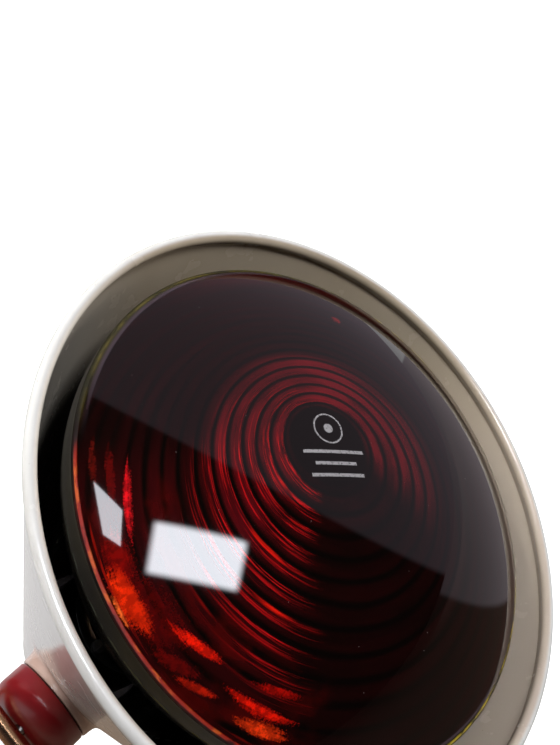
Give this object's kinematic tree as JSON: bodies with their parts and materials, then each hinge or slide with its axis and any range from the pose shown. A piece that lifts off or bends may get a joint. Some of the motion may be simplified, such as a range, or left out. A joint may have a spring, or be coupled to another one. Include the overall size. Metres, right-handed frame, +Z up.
{
  "type": "heat lamp fixture",
  "caption": "Infrared heat lamp: ruby-fronted reflector bulb in a cream cone shade that tilts on a bent brass rod table stand.",
  "frame": {"origin": "on the table surface, at the centre of the object's footprint box", "axes": "+Z up, +X along the tilt axis, the lamp faces -Y and upward"},
  "size_m": [0.145, 0.1805, 0.2017],
  "materials": {
    "cream_enamel": "glossy cream stove enamel on spun sheet",
    "ruby_glass": "deep ruby glass, polished",
    "silvered_glass": "glass silvered inside, dark lacquer outside",
    "burgundy_bakelite": "moulded burgundy bakelite, satin gloss",
    "black_bakelite": "moulded black bakelite",
    "brass": "brass, lightly tarnished",
    "steel": "zinc plated steel",
    "tungsten": "drawn tungsten wire",
    "clear_glass": "clear glass",
    "rubber": "matte black rubber",
    "fibre": "pressed fibre"
  },
  "bodies": {
    "stand": {"stand_rod": "brass", "rod_ferrule": "brass", "foot_front_left": "rubber", "foot_front_right": "rubber", "foot_rear_left": "rubber", "foot_rear_right": "rubber", "pivot_screw_right": "steel", "pivot_screw_left": "steel", "spring_washer_right": "steel", "spring_washer_left": "steel"},
    "head": {"shade": "cream_enamel", "back_cover": "cream_enamel", "cover_screw_upper": "steel", "cover_screw_lower": "steel", "bulb_lens": "ruby_glass", "bulb_bowl": "silvered_glass", "bulb_cap": "brass", "bulb_cap_insulator": "black_bakelite", "bulb_contact": "steel", "bulb_stem": "clear_glass", "bulb_lead_left": "steel", "bulb_lead_right": "steel", "bulb_filament": "tungsten", "lampholder_body": "black_bakelite", "lampholder_shell": "brass", "centre_contact": "brass", "contact_rivet": "steel", "lampholder_nut_left": "steel", "lampholder_nut_right": "steel", "lampholder_screw_left": "steel", "lampholder_screw_right": "steel", "terminal_line": "brass", "terminal_neutral": "brass", "terminal_screw_line": "steel", "terminal_screw_neutral": "steel", "gland_nut": "steel", "cable_gland": "black_bakelite", "pivot_spacer_right": "burgundy_bakelite", "pivot_spacer_left": "burgundy_bakelite", "pivot_saddle_right": "fibre", "pivot_saddle_left": "fibre", "friction_washer_right": "fibre", "friction_washer_left": "fibre"}
  },
  "joints": [
    {"name": "head_tilt", "type": "hinge", "parent": "stand", "child": "head", "pos_m": [0, 0.016, 0.095], "axis": [1, 0, 0], "range_deg": [-42, 50]}
  ]
}
